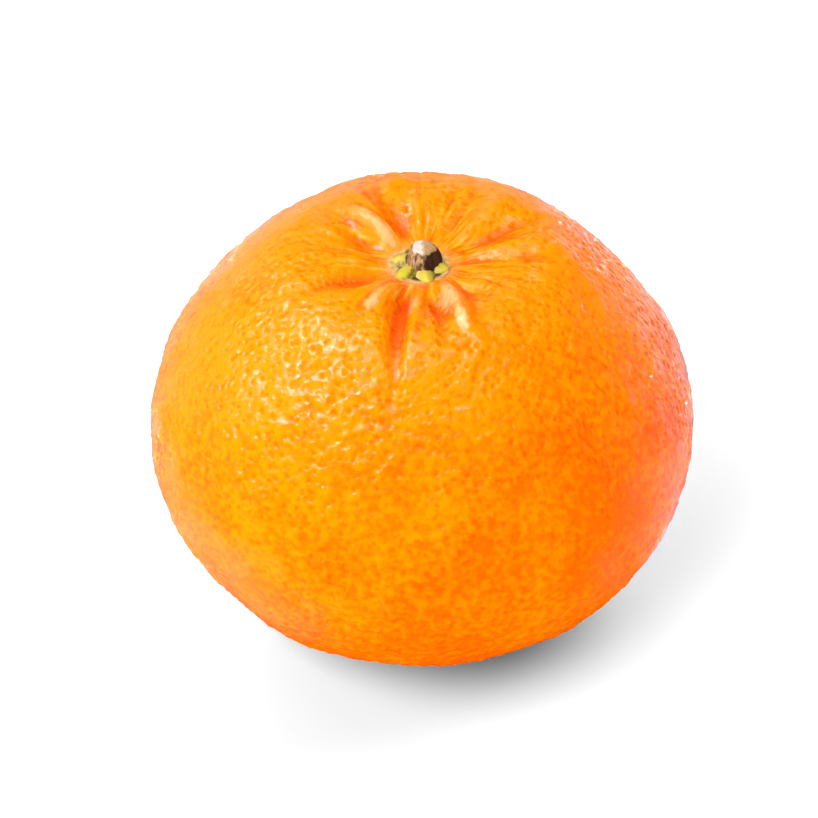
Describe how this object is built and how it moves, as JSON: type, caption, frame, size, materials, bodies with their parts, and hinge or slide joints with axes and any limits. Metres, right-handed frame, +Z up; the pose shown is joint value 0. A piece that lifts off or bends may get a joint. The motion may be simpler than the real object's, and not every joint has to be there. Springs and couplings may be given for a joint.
{
  "type": "mandarin orange",
  "caption": "Whole mandarin orange: a flattened round citrus fruit with furrows round a lobed calyx and a short cut stem stub, standing on its flat base.",
  "frame": {"origin": "middle of the outline at the height of the flat spot that the fruit rests on", "axes": "+Z up along the fruit's axis, from the flat spot to the stem; +X to the right and -Y towards the viewer of the reference view"},
  "size_m": [0.062, 0.0622, 0.0488],
  "materials": {
    "rind": "waxy half-gloss citrus rind, bright orange, finely pitted with oil glands",
    "calyx": "dull yellow-green, drying brown between the lobes and cream at the edge",
    "stem": "dry ridged brown bark with a pale grey cut end"
  },
  "bodies": {
    "root": {"fruit": "rind", "calyx": "calyx", "stem_stub": "stem"}
  },
  "joints": []
}
